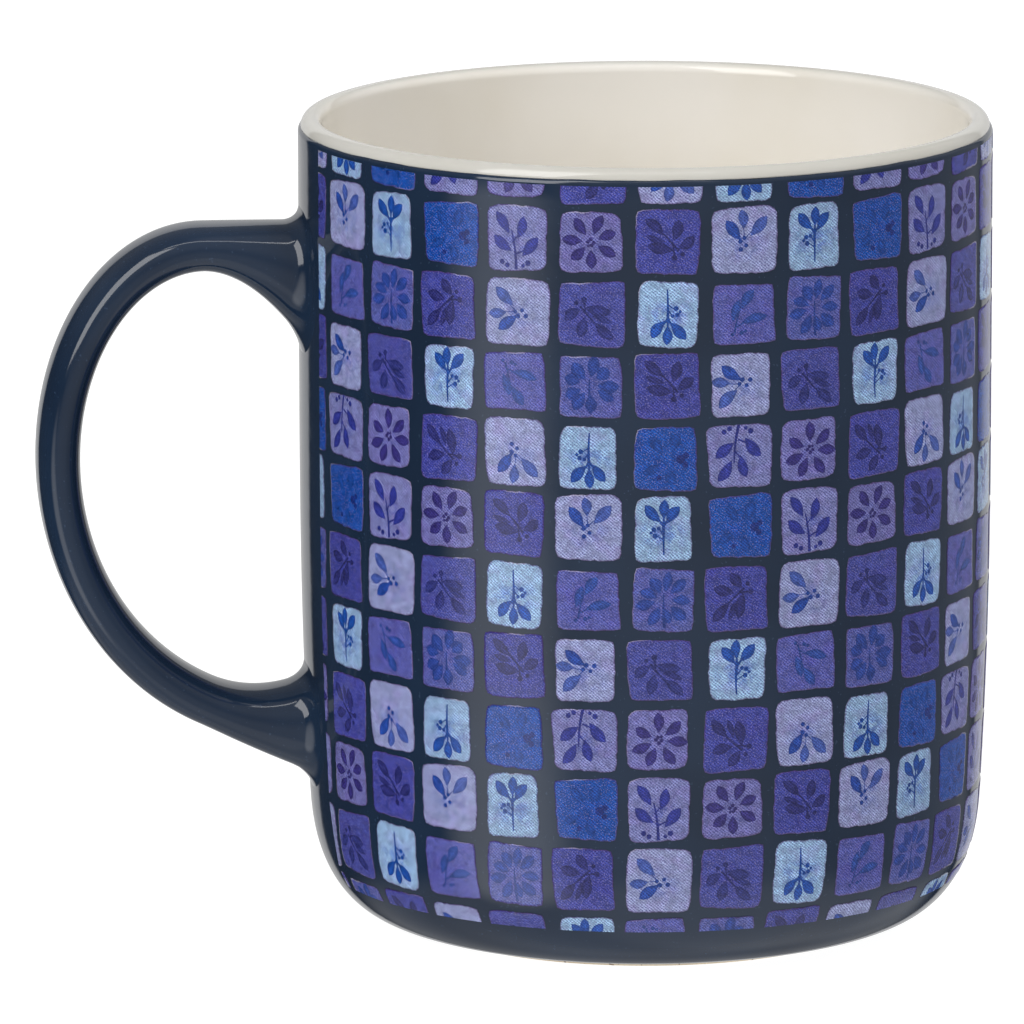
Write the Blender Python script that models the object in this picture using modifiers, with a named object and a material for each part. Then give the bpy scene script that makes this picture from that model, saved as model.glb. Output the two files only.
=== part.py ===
"""A straight-sided stoneware mug with a strap handle.

The clay cup and the clay handle are separate castings, joined by two collars of slip.
A cream glaze lines the cup and folds over its lip, a navy glaze coats the outside and
the handle, and a printed transfer of tiles is wrapped round the navy coat.

The cup stands on the XY plane with its foot at z = 0, and its handle points along -X.
The origin is the middle of the mug's outline on the table, halfway along its length.
"""
import math

import bmesh
import bpy

MM = 0.001

# Overall sizes
CUP_RADIUS = 44.5 * MM  # over the transfer, on the straight upper wall
CUP_HEIGHT = 105.0 * MM
HANDLE_REACH = 34.1 * MM  # from the side of the cup to the outside of the handle

# Outline of the wall: straight above, a slow taper, then the rounded heel
TAPER_START_Z = 68.0 * MM
TAPER_DEPTH = 2.4 * MM  # taken off the radius at table level
TAPER_POWER = 2.5
HEEL_HEIGHT = 16.4 * MM
HEEL_DEPTH = 11.6 * MM
HEEL_POWER = 2.4  # 2 is an ellipse, more is squarer
HEEL_BOTTOM_Z = 0.8 * MM

# Coats, from the outside in
TRANSFER_THICKNESS = 0.25 * MM
OUTER_GLAZE_THICKNESS = 0.4 * MM
LINER_THICKNESS = 0.4 * MM
COAT_GAP = 0.3 * MM  # between any two neighbouring solids

# Cup
WALL = 4.2 * MM  # from the transfer's face to the liner's face
LIP_INSET = 0.4 * MM  # of the cream lip behind the face of the transfer
LIP_THICKNESS = 2.7 * MM
LIP_BAND = 1.4 * MM  # how far the liner folds down over the lip
LIP_FLARE_HEIGHT = 10.0 * MM
INNER_FLOOR_Z = 7.0 * MM
INNER_HEEL_RADIUS = 12.0 * MM
FOOT_WIDTH = 3.2 * MM
FOOT_RECESS = 1.6 * MM

# Transfer
TRANSFER_TOP_DROP = 2.1 * MM  # below the lip
TRANSFER_BOTTOM_Z = 7.0 * MM
TRANSFER_OPENING = 21.0 * MM  # width left clear for the handle

# Handle
HANDLE_WIDTH = 12.0 * MM
SIDE_THICKNESS = 5.6 * MM  # where the handle stands upright
ARM_THICKNESS = 6.1 * MM  # where its arms lie level
UPPER_ARM_DROP = 15.85 * MM  # from the lip to the middle of the upper arm
LOWER_ARM_Z = 27.6 * MM
LOWER_BEND_RISE = 34.4 * MM  # from the lower arm to the widest point
UPPER_ARM_LENGTH = 12.5 * MM  # level stretch, which flares towards the cup
LOWER_ARM_LENGTH = 1.5 * MM  # level stretch
FLARE_LENGTH = 11.5 * MM  # out from the collar's face
FLARE_POWER = 2.2
SECTION_POWER = 2.4  # 2 is an ellipse, more is squarer

# Collars of slip between the handle and the cup
UPPER_COLLAR_HEIGHT = 16.4 * MM
LOWER_COLLAR_HEIGHT = 13.4 * MM
COLLAR_WIDTH = 14.6 * MM
COLLAR_RAISE = 1.2 * MM  # in front of the face of the transfer
UPPER_COLLAR_SAG = 5.0 * MM  # of the collar's middle below the arm
LOWER_COLLAR_SAG = 1.1 * MM
COLLAR_MARGIN = 0.4 * MM  # by which a collar shows round the end of the handle

# Fineness of the facets
TURN_STEPS = 40
SECTION_STEPS = 16
COLLAR_STEPS = 24
WALL_STEPS = 5
HEEL_STEPS = 6
INNER_HEEL_STEPS = 5
LIP_STEPS = 6
BEND_STEPS = 8
FLARE_STEPS = 5

# Depths of each surface behind the face of the transfer
GLAZE_FACE = TRANSFER_THICKNESS + COAT_GAP
GLAZE_BACK = GLAZE_FACE + OUTER_GLAZE_THICKNESS
BODY_FACE = GLAZE_BACK + COAT_GAP
LINER_BACK = LINER_THICKNESS
BODY_INSIDE = LINER_BACK + COAT_GAP

HEEL_TOP_Z = HEEL_BOTTOM_Z + HEEL_HEIGHT
COLLAR_FACE = CUP_RADIUS + COLLAR_RAISE
INNER_RADIUS = CUP_RADIUS - WALL
INNER_LIP_RADIUS = CUP_RADIUS - LIP_INSET - LIP_THICKNESS
HANDLE_EDGE = CUP_RADIUS + HANDLE_REACH
CUP_AXIS_X = HANDLE_REACH / 2  # the cup's axis, so that the whole mug is centred


def new_material(name, color, roughness, coat=0.0):
    material = bpy.data.materials.new(name)
    material.use_nodes = True
    shader = material.node_tree.nodes["Principled BSDF"]
    shader.inputs["Base Color"].default_value = (*color, 1.0)
    shader.inputs["Roughness"].default_value = roughness
    shader.inputs["Metallic"].default_value = 0.0
    shader.inputs["Coat Weight"].default_value = coat
    material.diffuse_color = (*color, 1.0)
    return material


def new_object(name, mesh, collection, material=None):
    piece = bpy.data.objects.new(name, mesh)
    collection.objects.link(piece)
    piece.location.x = CUP_AXIS_X
    if material:
        mesh.materials.append(material)
    return piece


def hide_cutter(cutter):
    cutter.hide_render = True
    cutter.display_type = "WIRE"
    return cutter


def taper(z):
    below = max(0.0, TAPER_START_Z - z) / TAPER_START_Z
    return TAPER_DEPTH * below**TAPER_POWER


def wall_radius(z):
    """Radius of the transfer's face at height z, or of where it would be."""
    down = min(max((HEEL_TOP_Z - z) / HEEL_HEIGHT, 0.0), 1.0)
    out = (1.0 - down**HEEL_POWER) ** (1.0 / HEEL_POWER)
    return CUP_RADIUS - taper(z) - HEEL_DEPTH * (1.0 - out)


def outer_outline(depth, top_z, bottom_z=None):
    """Points down the outside, depth behind the transfer's face, as (radius, z)."""
    heights = [top_z + (HEEL_TOP_Z - top_z) * i / WALL_STEPS for i in range(WALL_STEPS)]
    last_turn = math.pi / 2
    if bottom_z is not None:
        last_turn = math.asin(((HEEL_TOP_Z - bottom_z) / HEEL_HEIGHT) ** (HEEL_POWER / 2))
    for i in range(HEEL_STEPS + 1):
        turn = last_turn * i / HEEL_STEPS
        heights.append(HEEL_TOP_Z - HEEL_HEIGHT * math.sin(turn) ** (2 / HEEL_POWER))
    points = []
    for i, z in enumerate(heights):
        radius = wall_radius(z)
        if z > HEEL_TOP_Z:
            normal = (1.0, 0.0)
        else:
            down = min((HEEL_TOP_Z - z) / HEEL_HEIGHT, 1.0)
            out = (1.0 - down**HEEL_POWER) ** (1.0 / HEEL_POWER)
            across = out ** (HEEL_POWER - 1.0) / HEEL_DEPTH
            along = down ** (HEEL_POWER - 1.0) / HEEL_HEIGHT
            length = math.hypot(across, along)
            normal = (across / length, -along / length)
        points.append((radius - depth * normal[0], z - depth * normal[1]))
    return points


def inner_outline(depth):
    """Points from the middle of the floor up the inside, depth behind the liner's face."""
    points = [(0.0, INNER_FLOOR_Z - depth)]
    center = (INNER_RADIUS - INNER_HEEL_RADIUS, INNER_FLOOR_Z + INNER_HEEL_RADIUS)
    reach = INNER_HEEL_RADIUS + depth
    for i in range(INNER_HEEL_STEPS + 1):
        turn = math.pi / 2 * i / INNER_HEEL_STEPS
        points.append((center[0] + reach * math.sin(turn), center[1] - reach * math.cos(turn)))
    flare = INNER_LIP_RADIUS - INNER_RADIUS
    start_z = CUP_HEIGHT - LIP_FLARE_HEIGHT
    for share in (0.0, 0.5, 0.8):
        z = start_z + LIP_FLARE_HEIGHT * share
        points.append((INNER_RADIUS + flare * share**2 + depth, z))
    return points


def lip_outline(inner_radius, outer_radius, top_z):
    """A rounded lip, as a half ellipse from its inner side over to its outer side."""
    middle = (inner_radius + outer_radius) / 2
    half = (outer_radius - inner_radius) / 2
    rise = top_z - (CUP_HEIGHT - LIP_BAND)
    points = []
    for i in range(LIP_STEPS + 1):
        turn = math.pi * (1.0 - i / LIP_STEPS)
        points.append((middle + half * math.cos(turn), top_z - rise + rise * math.sin(turn)))
    return points


def turned(name, outline, collection, material=None):
    """A solid turned about the cup's axis from an outline of (radius, z) points.

    The outline is a loop, unless its two ends lie on the axis.
    """
    mesh = bpy.data.meshes.new(name)
    on_axis = outline[0][0] == 0.0 and outline[-1][0] == 0.0
    edges = [(i, i + 1) for i in range(len(outline) - 1)]
    if not on_axis:
        edges.append((len(outline) - 1, 0))
    mesh.from_pydata([(radius, 0.0, z) for radius, z in outline], edges, [])
    piece = new_object(name, mesh, collection, material)
    screw = piece.modifiers.new("turn", "SCREW")
    screw.angle = 2 * math.pi
    screw.steps = TURN_STEPS
    screw.render_steps = TURN_STEPS
    screw.use_merge_vertices = True
    screw.merge_threshold = 0.00001
    screw.use_smooth_shade = True
    return piece


def cut(piece, cutter, operation="DIFFERENCE"):
    boolean = piece.modifiers.new(cutter.name, "BOOLEAN")
    boolean.operation = operation
    boolean.object = cutter


def box_cutter(name, low, high, collection):
    mesh = bpy.data.meshes.new(name)
    shape = bmesh.new()
    bmesh.ops.create_cube(shape, size=1.0)
    for vertex in shape.verts:
        for axis in range(3):
            middle = (low[axis] + high[axis]) / 2
            vertex.co[axis] = middle + vertex.co[axis] * (high[axis] - low[axis])
    shape.to_mesh(mesh)
    shape.free()
    return hide_cutter(new_object(name, mesh, collection))


def collar_cutter(name, middle_z, height, width, collection):
    """An oval bar along X, which passes through the handle's side of the wall."""
    mesh = bpy.data.meshes.new(name)
    shape = bmesh.new()
    bmesh.ops.create_cone(
        shape, cap_ends=True, segments=COLLAR_STEPS, radius1=0.5, radius2=0.5, depth=1.0
    )
    near = CUP_RADIUS - HEEL_DEPTH
    far = CUP_RADIUS + 3 * COLLAR_RAISE
    for vertex in shape.verts:
        across, up, along = vertex.co
        reach = near + (far - near) * (0.5 - along)
        vertex.co = (-reach, across * width, middle_z + up * height)
    shape.to_mesh(mesh)
    shape.free()
    return hide_cutter(new_object(name, mesh, collection))


def flare(reach):
    """How far the handle has widened at this distance from the axis, 0 to 1, and how fast."""
    near = min(max(0.0, COLLAR_FACE + FLARE_LENGTH - reach) / FLARE_LENGTH, 1.0)
    return near**FLARE_POWER, FLARE_POWER * near ** (FLARE_POWER - 1.0) / FLARE_LENGTH


def handle_stations():
    """Centre line of the handle from the upper collar to the lower one.

    Each station is (reach from the axis, z, direction, half thickness, half width, top
    lean, bottom lean). The direction is the angle of the centre line above -X. A lean is
    how much deeper than square to the skin a layer lies, measured square to the line.
    """
    upper_z = CUP_HEIGHT - UPPER_ARM_DROP
    widest_z = LOWER_ARM_Z + LOWER_BEND_RISE
    widest = HANDLE_EDGE - SIDE_THICKNESS / 2
    upper_start = CUP_RADIUS + UPPER_ARM_LENGTH
    lower_end = CUP_RADIUS + LOWER_ARM_LENGTH
    inside = CUP_RADIUS - COAT_GAP
    line = []
    for i in range(FLARE_STEPS):
        line.append((inside + (upper_start - inside) * i / FLARE_STEPS, upper_z, 0.0, 1.0))
    for i in range(BEND_STEPS):
        turn = math.pi / 2 * i / BEND_STEPS
        across = (widest - upper_start) * math.cos(turn)
        down = (upper_z - widest_z) * math.sin(turn)
        reach = upper_start + (widest - upper_start) * math.sin(turn)
        z = widest_z + (upper_z - widest_z) * math.cos(turn)
        line.append((reach, z, -math.atan2(down, across), math.cos(turn) ** 2))
    for i in range(BEND_STEPS + FLARE_STEPS + 1):
        turn = math.pi / 2 * i / (BEND_STEPS + FLARE_STEPS)
        across = -(widest - lower_end) * math.sin(turn)
        down = (widest_z - LOWER_ARM_Z) * math.cos(turn)
        reach = lower_end + (widest - lower_end) * math.cos(turn)
        z = widest_z - (widest_z - LOWER_ARM_Z) * math.sin(turn)
        line.append((reach, z, -math.atan2(down, across), math.sin(turn) ** 2))
    line.append((inside, LOWER_ARM_Z, -math.pi, 1.0))

    half_side = SIDE_THICKNESS / 2
    half_arm = ARM_THICKNESS / 2
    stations = []
    for reach, z, direction, level in line:
        half = half_side + (half_arm - half_side) * level
        widening, steepness = flare(reach)
        upper = z > widest_z
        sag = UPPER_COLLAR_SAG if upper else LOWER_COLLAR_SAG
        height = UPPER_COLLAR_HEIGHT if upper else LOWER_COLLAR_HEIGHT
        growth = height / 2 - COLLAR_MARGIN - half
        half += growth * widening
        half_width = HANDLE_WIDTH / 2
        half_width += (COLLAR_WIDTH / 2 - COLLAR_MARGIN - half_width) * widening
        leans = [math.hypot(1.0, (growth + shift) * steepness) for shift in (-sag, sag)]
        if not upper:
            leans.reverse()
        stations.append((reach, z - sag * widening, direction, half, half_width, *leans))
    return stations


def handle_tube(name, depth, capped, collection, material):
    """A strap lofted along the handle's centre line, depth inside the glaze's face."""
    shape = bmesh.new()
    rings = []
    for reach, z, direction, half, half_width, top_lean, bottom_lean in handle_stations():
        inner_half = half - depth * (top_lean + bottom_lean) / 2
        shift = depth * (bottom_lean - top_lean) / 2
        ring = []
        for i in range(SECTION_STEPS):
            turn = 2 * math.pi * i / SECTION_STEPS
            cosine, sine = math.cos(turn), math.sin(turn)
            bulge = 2 / SECTION_POWER
            up = math.copysign(abs(cosine) ** bulge, cosine) * inner_half + shift
            across = math.copysign(abs(sine) ** bulge, sine) * (half_width - depth)
            # up is square to the centre line, in the handle's own plane
            x = -reach + up * math.sin(direction)
            ring.append(shape.verts.new((x, across, z + up * math.cos(direction))))
        rings.append(ring)
    for ring, after in zip(rings, rings[1:]):
        for i in range(SECTION_STEPS):
            j = (i + 1) % SECTION_STEPS
            shape.faces.new((ring[i], ring[j], after[j], after[i]))
    if capped:
        shape.faces.new(rings[0][::-1])
        shape.faces.new(rings[-1])
        bmesh.ops.recalc_face_normals(shape, faces=shape.faces)
    mesh = bpy.data.meshes.new(name)
    shape.to_mesh(mesh)
    shape.free()
    mesh.shade_smooth()
    return new_object(name, mesh, collection, material)


def build():
    for old in list(bpy.data.objects):
        bpy.data.objects.remove(old, do_unlink=True)
    parts = bpy.data.collections.new("stoneware_mug")
    cutters = bpy.data.collections.new("cutters")
    bpy.context.scene.collection.children.link(parts)
    bpy.context.scene.collection.children.link(cutters)

    bisque = new_material("bisque_stoneware", (0.62, 0.55, 0.46), 0.8)
    cream = new_material("cream_glaze", (0.72, 0.67, 0.58), 0.12, 1.0)
    navy = new_material("navy_glaze", (0.020, 0.042, 0.085), 0.1, 1.0)
    printed = new_material("tile_transfer", (0.09, 0.07, 0.30), 0.14, 1.0)

    # Cup body: floor, wall, lip and foot ring, open at the top
    glaze_foot_radius = wall_radius(HEEL_BOTTOM_Z)
    foot_outer = glaze_foot_radius - COAT_GAP
    foot_inner = foot_outer - FOOT_WIDTH
    body_lip = (INNER_LIP_RADIUS + BODY_INSIDE, CUP_RADIUS - BODY_FACE, CUP_HEIGHT - BODY_INSIDE)
    body = inner_outline(BODY_INSIDE) + lip_outline(*body_lip)
    body += outer_outline(BODY_FACE, CUP_HEIGHT - LIP_BAND - LIP_BAND)
    body += [(foot_outer, HEEL_BOTTOM_Z + BODY_FACE), (foot_outer, 0.0), (foot_inner, 0.0)]
    body += [(foot_inner, FOOT_RECESS), (0.0, FOOT_RECESS)]
    turned("cup_body", body, parts, bisque)

    # Liner: the cream glaze inside, folded over the lip
    flange_back = CUP_RADIUS - BODY_FACE + COAT_GAP
    flange_z = CUP_HEIGHT - LIP_BAND
    liner = inner_outline(0.0)
    liner += lip_outline(INNER_LIP_RADIUS, CUP_RADIUS - LIP_INSET, CUP_HEIGHT)
    back_lip = (INNER_LIP_RADIUS + LINER_BACK, flange_back, CUP_HEIGHT - LINER_BACK)
    liner += lip_outline(*back_lip)[::-1]
    liner += inner_outline(LINER_BACK)[::-1]
    turned("liner_glaze", liner, parts, cream)

    # Outer glaze: the navy coat, from under the lip to the foot ring
    glaze_top = flange_z - COAT_GAP
    glaze = outer_outline(GLAZE_FACE, glaze_top)
    glaze += outer_outline(GLAZE_BACK, glaze_top)[::-1]
    outer_glaze = turned("outer_glaze", glaze, parts, navy)

    # Transfer: the printed sheet, wrapped round the coat and open at the handle
    transfer_top = CUP_HEIGHT - TRANSFER_TOP_DROP
    sheet = outer_outline(0.0, transfer_top, TRANSFER_BOTTOM_Z)
    sheet += outer_outline(TRANSFER_THICKNESS, transfer_top, TRANSFER_BOTTOM_Z)[::-1]
    transfer = turned("mosaic_transfer", sheet, parts, printed)
    beyond = (-2 * CUP_RADIUS, -TRANSFER_OPENING / 2, -CUP_HEIGHT)
    within = (0.0, TRANSFER_OPENING / 2, 2 * CUP_HEIGHT)
    cut(transfer, box_cutter("transfer_opening", beyond, within, cutters))

    # Collars: slip squeezed between the handle and the cup, through windows in the coat
    upper_middle = CUP_HEIGHT - UPPER_ARM_DROP - UPPER_COLLAR_SAG
    lower_middle = LOWER_ARM_Z - LOWER_COLLAR_SAG
    collars = (
        ("upper_handle_collar", upper_middle, UPPER_COLLAR_HEIGHT),
        ("lower_handle_collar", lower_middle, LOWER_COLLAR_HEIGHT),
    )
    slip_back = BODY_FACE - COAT_GAP
    for name, middle_z, height in collars:
        slip = outer_outline(-COLLAR_RAISE, glaze_top) + outer_outline(slip_back, glaze_top)[::-1]
        collar = turned(name, slip, parts, navy)
        shape = collar_cutter(name + "_outline", middle_z, height, COLLAR_WIDTH, cutters)
        cut(collar, shape, "INTERSECT")
        grown = 2 * COAT_GAP
        window = collar_cutter(
            name + "_window", middle_z, height + grown, COLLAR_WIDTH + grown, cutters
        )
        cut(outer_glaze, window)

    # Handle: a clay strap inside its coat of glaze, both ending on the collars
    wall = outer_outline(-COLLAR_RAISE - COAT_GAP, CUP_HEIGHT)
    wall = [(0.0, CUP_HEIGHT)] + wall + [(0.0, wall[-1][1])]
    wall_cutter = hide_cutter(turned("handle_end", wall, cutters))
    core_depth = OUTER_GLAZE_THICKNESS + COAT_GAP
    strap = handle_tube("handle", core_depth, True, parts, bisque)
    cut(strap, wall_cutter)
    coat = handle_tube("handle_glaze", 0.0, False, parts, navy)
    shell = coat.modifiers.new("thickness", "SOLIDIFY")
    shell.thickness = OUTER_GLAZE_THICKNESS
    shell.offset = -1.0
    cut(coat, wall_cutter)


build()
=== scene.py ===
"""Looks of a straight-sided stoneware mug with a printed mosaic of leaf tiles.

Lengths are in millimetres. Shapes are worked out about the cup's own axis and are put in
the frame, in metres, by new_piece. A place on the wall is (u, z), where u is the distance
round the cup from the middle of the handle, counted past the camera's side.
"""

import math
import random
from itertools import product

import bpy
import numpy as np
from mathutils import Euler, Matrix, Vector
from mathutils.geometry import delaunay_2d_cdt


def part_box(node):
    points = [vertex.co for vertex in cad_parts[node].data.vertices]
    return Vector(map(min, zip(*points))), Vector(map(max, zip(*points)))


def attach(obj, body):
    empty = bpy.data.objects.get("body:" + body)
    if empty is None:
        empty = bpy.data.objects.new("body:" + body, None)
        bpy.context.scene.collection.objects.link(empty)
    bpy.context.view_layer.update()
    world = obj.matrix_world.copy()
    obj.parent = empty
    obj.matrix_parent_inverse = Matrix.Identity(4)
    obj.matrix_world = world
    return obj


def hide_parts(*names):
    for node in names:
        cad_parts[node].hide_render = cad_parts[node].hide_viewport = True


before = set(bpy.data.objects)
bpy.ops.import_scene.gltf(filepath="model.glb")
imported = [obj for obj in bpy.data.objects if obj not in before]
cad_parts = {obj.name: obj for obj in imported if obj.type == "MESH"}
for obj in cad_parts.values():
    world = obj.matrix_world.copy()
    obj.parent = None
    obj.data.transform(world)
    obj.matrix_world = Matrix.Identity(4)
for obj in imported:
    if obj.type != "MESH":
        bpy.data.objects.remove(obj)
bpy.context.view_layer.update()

MM = 0.001

# Sizes taken from the frame
CUP_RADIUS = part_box("mosaic_transfer")[1].y / MM
CUP_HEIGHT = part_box("liner_glaze")[1].z / MM
AXIS_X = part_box("mosaic_transfer")[1].x / MM - CUP_RADIUS
SHEET_BOTTOM_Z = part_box("mosaic_transfer")[0].z / MM
SHEET_TOP_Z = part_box("mosaic_transfer")[1].z / MM
HANDLE_EDGE = AXIS_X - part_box("handle_glaze")[0].x / MM

# The wall's outline, as the part has it
TAPER_START_Z = 68.0
TAPER_DEPTH = 2.4
TAPER_POWER = 2.5
HEEL_HEIGHT = 16.4
HEEL_DEPTH = 11.6
HEEL_POWER = 2.4
HEEL_BOTTOM_Z = 0.8
HEEL_TOP_Z = HEEL_BOTTOM_Z + HEEL_HEIGHT

# Cup
WALL = 4.2
LIP_INSET = 0.4
LIP_THICKNESS = 2.7
LIP_BAND = 1.4
INNER_FLOOR_Z = 7.0
INNER_HEEL_RADIUS = 12.0
FOOT_OUTER = 30.27
FOOT_WIDTH = 3.2
FOOT_RECESS = 1.6
BODY_DEPTH = 1.25
FOOT_EDGE = 0.6  # rounding of the foot ring's edges
CLAY_GAP = 0.3  # between the clay and the liner's back
LINER_THICKNESS = 0.4
LINER_EDGE_DEPTH = 0.9  # of the liner's back behind the tiles' faces, outside the lip
COAT_DEPTH = 0.06  # of the navy coat's face behind the tiles' faces
COAT_BACK_DEPTH = 0.5
TURN_STEPS = 288
INNER_RADIUS = CUP_RADIUS - WALL
INNER_LIP_RADIUS = CUP_RADIUS - LIP_INSET - LIP_THICKNESS

# Handle
HANDLE_WIDTH = 12.0
SIDE_THICKNESS = 5.6
ARM_THICKNESS = 6.1
UPPER_ARM_DROP = 15.85
LOWER_ARM_Z = 27.6
LOWER_BEND_RISE = 34.4
UPPER_ARM_LENGTH = 12.5
LOWER_ARM_LENGTH = 1.5
FLARE_LENGTH = 12.7  # out from the wall
FLARE_POWER = 1.9
SECTION_POWER = 2.4
UPPER_END_HEIGHT = 15.2
LOWER_END_HEIGHT = 12.6
END_WIDTH = 13.8
UPPER_SAG = 4.6
LOWER_SAG = 1.1
HUG_LENGTH = 9.0  # out from the wall, where the sections start to follow its curve
FILLET = 2.2  # of glaze between the handle and the wall
HANDLE_COAT = 0.4  # thickness of the glaze on the handle
CORE_DEPTH = 0.7  # of the clay strap inside the glaze's face
SECTION_STEPS = 72
UPPER_JOINT_RINGS = 24  # sections of the handle's skin that belong to each joint
LOWER_JOINT_RINGS = 21

# Distances from the axis of the sections in the fillet, closest first
END_REACHES = CUP_RADIUS - 0.12 + FILLET * (1 - np.cos(np.radians(np.linspace(0, 90, 13))))

# Printed sheet
SHEET_START = 10.5  # the sheet's edges, round from the middle of the handle
TILE_PITCH_U = 9.61
TILE_PITCH_Z = 9.07
FIRST_COLUMN_U = 18.54
FIRST_ROW_Z = 95.8
SHEET_LEAN = 0.0145  # of a column, round the cup for each millimetre up it
TILE_ROWS = range(0, 12)  # down the sheet; the first is mostly cut away
TILE_COLUMNS = range(-1, 27)
INK_THICKNESS = 0.1
OUTLINE_STEPS = 52
CORNER_WANDER = 0.32
RAGGEDNESS = 0.036
RIM_WIDTH = 0.3
GRID_REACH = 3.2  # of the extra points in a tile's mesh, each way from its middle
GRID_STEP = 1.6

# Camera, about the cup's axis
CAMERA_DISTANCE = 1501.5
CAMERA_HEIGHT = 349.7
CAMERA_TURN = math.radians(-8.0)  # round from -Y towards -X
CAMERA_PITCH = 0.1951
CAMERA_YAW = 0.0114
CAMERA_ROLL = -0.0019
LENS = 417.8


def linear(red, green, blue):
    """A screen colour of 0 to 255 as linear light."""
    return tuple(
        (c / 255 / 12.92 if c <= 10 else ((c / 255 + 0.055) / 1.055) ** 2.4)
        for c in (red, green, blue)
    )


# ---------------------------------------------------------------- meshes


def new_piece(name, points, faces, normals, material):
    """An object from points in millimetres about the cup's axis, smooth by its normals."""
    points = np.asarray(points, float) * MM
    points[:, 0] += AXIS_X * MM
    mesh = bpy.data.meshes.new(name)
    mesh.from_pydata(points.tolist(), [], faces)
    mesh.shade_smooth()
    mesh.normals_split_custom_set_from_vertices(np.asarray(normals, float).tolist())
    mesh.materials.append(material)
    piece = bpy.data.objects.new(name, mesh)
    bpy.context.scene.collection.objects.link(piece)
    return piece


def unit_rows(vectors):
    lengths = np.linalg.norm(vectors, axis=-1, keepdims=True)
    return vectors / np.maximum(lengths, 1e-12)


def taper(z):
    below = max(0.0, TAPER_START_Z - z) / TAPER_START_Z
    return TAPER_DEPTH * below**TAPER_POWER


def wall_radius(z):
    """Radius of the tiles' faces at height z."""
    down = min(max((HEEL_TOP_Z - z) / HEEL_HEIGHT, 0.0), 1.0)
    out = (1.0 - down**HEEL_POWER) ** (1.0 / HEEL_POWER)
    return CUP_RADIUS - taper(z) - HEEL_DEPTH * (1.0 - out)


def wall_normal(z):
    """The wall's normal at height z, as (outward, upward)."""
    if z > HEEL_TOP_Z:
        step = 0.05
        slope = (wall_radius(z + step) - wall_radius(z - step)) / (2 * step)
        return 1 / math.hypot(1, slope), -slope / math.hypot(1, slope)
    down = min((HEEL_TOP_Z - z) / HEEL_HEIGHT, 1.0)
    out = (1.0 - down**HEEL_POWER) ** (1.0 / HEEL_POWER)
    across = out ** (HEEL_POWER - 1.0) / HEEL_DEPTH
    along = down ** (HEEL_POWER - 1.0) / HEEL_HEIGHT
    length = math.hypot(across, along)
    return across / length, -along / length


def outer_outline(depth, top_z, wall_steps, heel_steps):
    """Points down the outside, depth behind the tiles' faces, as (radius, z)."""
    heights = [top_z + (HEEL_TOP_Z - top_z) * i / wall_steps for i in range(wall_steps)]
    for i in range(heel_steps + 1):
        turn = math.pi / 2 * i / heel_steps
        heights.append(HEEL_TOP_Z - HEEL_HEIGHT * math.sin(turn) ** (2 / HEEL_POWER))
    points = []
    for z in heights:
        outward, upward = wall_normal(z)
        points.append((wall_radius(z) - depth * outward, z - depth * upward))
    return points


def arc(center, radius, start, end, steps):
    """Points round a circle between two angles in degrees."""
    turns = np.radians(np.linspace(start, end, steps + 1))
    return [(center[0] + radius * math.cos(t), center[1] + radius * math.sin(t)) for t in turns]


def inner_outline(depth, steps):
    """Points from the middle of the floor up the inside, depth behind the liner's face."""
    points = [(r, INNER_FLOOR_Z - depth) for r in (0.0, 0.5, 6.0, 14.0, 22.0, 27.0)]
    center = (INNER_RADIUS - INNER_HEEL_RADIUS, INNER_FLOOR_Z + INNER_HEEL_RADIUS)
    points += arc(center, INNER_HEEL_RADIUS + depth, -90, 0, steps)
    top_z = CUP_HEIGHT - LIP_BAND
    spread = INNER_LIP_RADIUS - INNER_RADIUS
    for i in range(1, 2 * steps):
        share = i / (2 * steps)
        z = center[1] + (top_z - center[1]) * share
        points.append((INNER_RADIUS + depth + spread * share**2, z))
    return points


def lip_outline(inner_radius, outer_radius, top_z, steps):
    """A rounded lip, as a half ellipse from its inner side over to its outer side."""
    middle = (inner_radius + outer_radius) / 2
    half = (outer_radius - inner_radius) / 2
    rise = top_z - (CUP_HEIGHT - LIP_BAND)
    turns = np.radians(np.linspace(180, 0, steps + 1))
    return [(middle + half * math.cos(t), top_z - rise + rise * math.sin(t)) for t in turns]


def turned(name, outline, material, wave=None):
    """A closed outline of (radius, z) turned about the cup's axis.

    The outline runs with the solid on its right. If it touches the axis, it starts there
    on a face that looks up and ends there on one that looks down. wave(angle, z) gives a
    small shift of each point along the axis.
    """
    outline = [p for i, p in enumerate(outline) if i == 0 or p != outline[i - 1]]
    profile = np.array(outline)
    on_axis = profile[:, 0] < 1e-6
    ahead = unit_rows(np.roll(profile, -1, 0) - profile)
    behind = unit_rows(profile - np.roll(profile, 1, 0))
    along = unit_rows(ahead + behind)
    slopes = np.stack([-along[:, 1], along[:, 0]], 1)
    if on_axis[0]:
        slopes[0], slopes[-1] = (0, 1), (0, -1)
    angles = 2 * math.pi * np.arange(TURN_STEPS) / TURN_STEPS
    points, normals, rings = [], [], []
    for (radius, z), (outward, upward), pole in zip(profile, slopes, on_axis):
        if pole:
            rings.append([len(points)] * TURN_STEPS)
            points.append((0.0, 0.0, z))
            normals.append((0.0, 0.0, upward))
            continue
        rings.append(list(range(len(points), len(points) + TURN_STEPS)))
        for angle in angles:
            shift = wave(angle, z) if wave else 0.0
            points.append((radius * math.cos(angle), radius * math.sin(angle), z + shift))
            normals.append((outward * math.cos(angle), outward * math.sin(angle), upward))
    faces = []
    bands = len(rings) - 1 if on_axis[0] else len(rings)
    for k in range(bands):
        ring, after = rings[k], rings[(k + 1) % len(rings)]
        for j in range(TURN_STEPS):
            i = (j + 1) % TURN_STEPS
            corners = [ring[j], after[j], after[i], ring[i]]
            faces.append(tuple(dict.fromkeys(corners)))
    return new_piece(name, points, faces, normals, material)


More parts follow.
